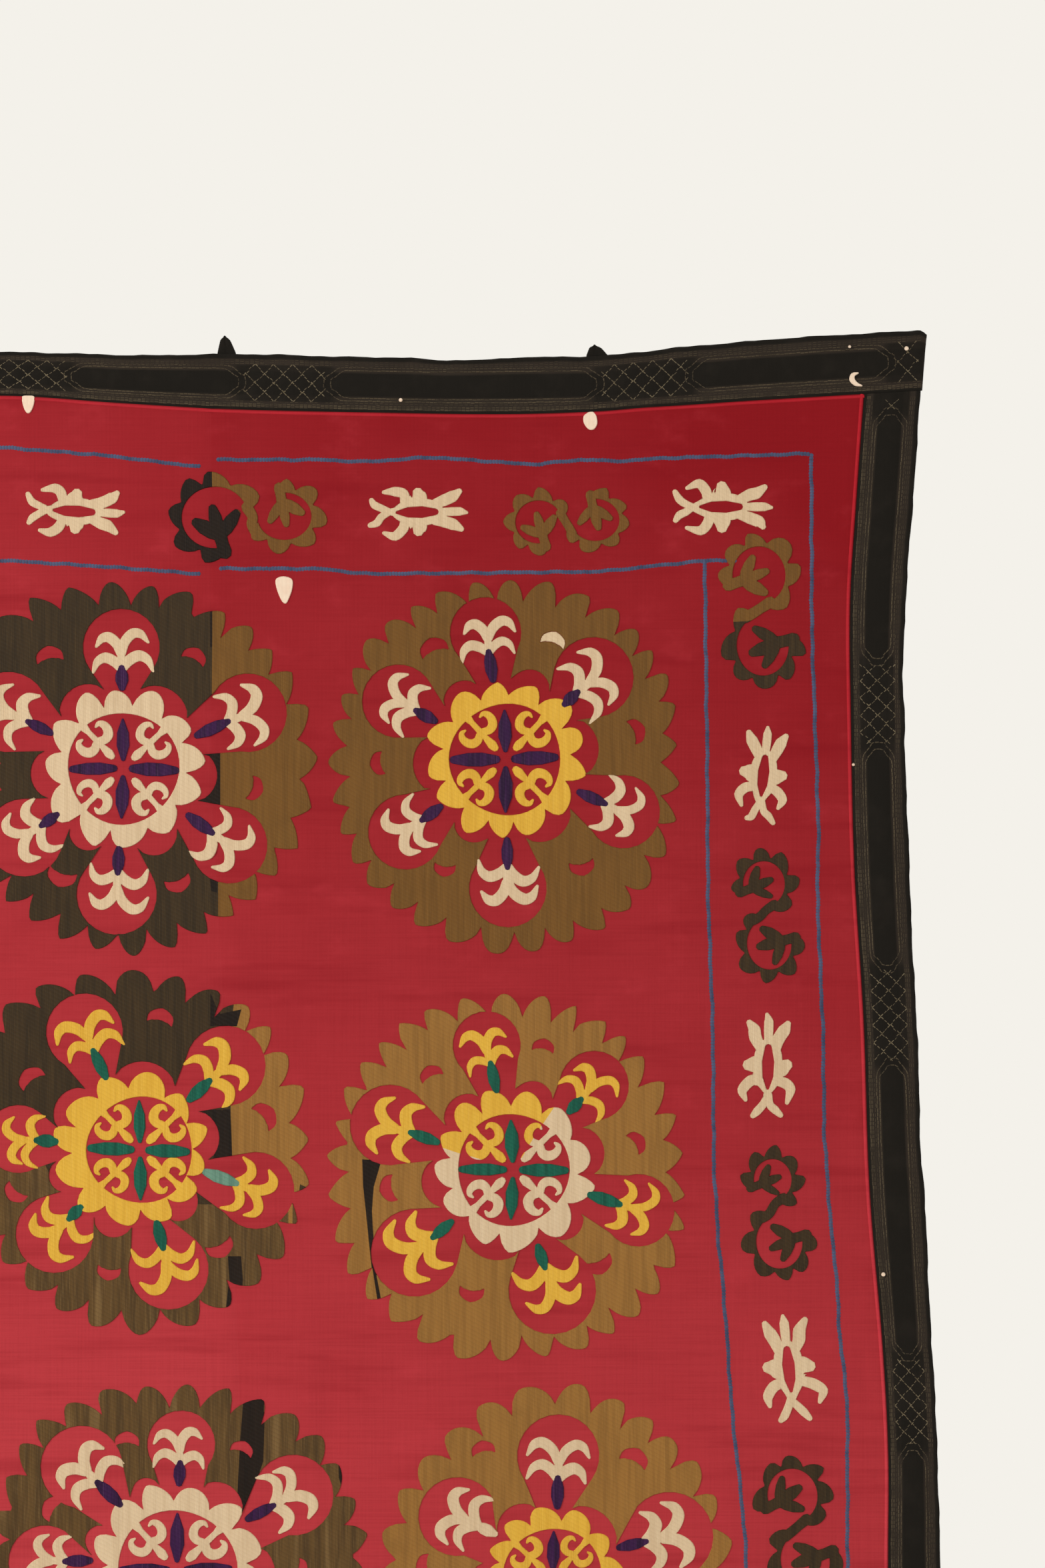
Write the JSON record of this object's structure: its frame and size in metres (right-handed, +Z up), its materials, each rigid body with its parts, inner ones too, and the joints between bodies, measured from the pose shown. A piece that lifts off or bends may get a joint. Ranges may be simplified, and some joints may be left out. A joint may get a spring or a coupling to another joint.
{
  "type": "embroidered suzani wall hanging",
  "caption": "Large hung cotton cloth of sewn panels, embroidered with rosettes and a vine band, bound by black quilted strips, with small tape loops along its top edge.",
  "frame": {"origin": "middle of the cloth's top edge, in the plane it hangs in", "axes": "+Z up along the cloth, +X along its width to the viewer's right, -Y out of its embroidered face"},
  "size_m": [1.8268, 0.0345, 2.3008],
  "materials": {
    "red_cotton": "matt plain-weave cotton, slightly slubbed",
    "black_cotton": "matt black cotton, quilted with fine brown running stitches",
    "loop_tape": "matt folded black cotton tape",
    "olive_thread": "olive silk embroidery thread, laid upright and couched, on the wreaths and scrolls",
    "dark_thread": "dark brown and blackish olive silk thread, on the wreaths and scrolls",
    "cream_thread": "cream silk thread, laid and couched",
    "yellow_thread": "yellow silk thread, laid and couched",
    "purple_thread": "purple silk thread of stems and crosses",
    "green_thread": "green silk thread of stems and crosses",
    "blue_thread": "grey-blue thread in chain stitch",
    "quilting_thread": "beige-brown cotton thread of the quilting",
    "cream_cotton": "small sewn-on patches and thread ends of cream cotton"
  },
  "bodies": {
    "root": {"panel_left": "red_cotton", "panel_middle": "red_cotton", "panel_right": "red_cotton", "binding_top": "black_cotton", "binding_bottom": "black_cotton", "binding_left": "black_cotton", "binding_right": "black_cotton", "hanging_loop_1": "loop_tape", "hanging_loop_2": "loop_tape", "hanging_loop_3": "loop_tape", "hanging_loop_4": "loop_tape"}
  },
  "joints": []
}
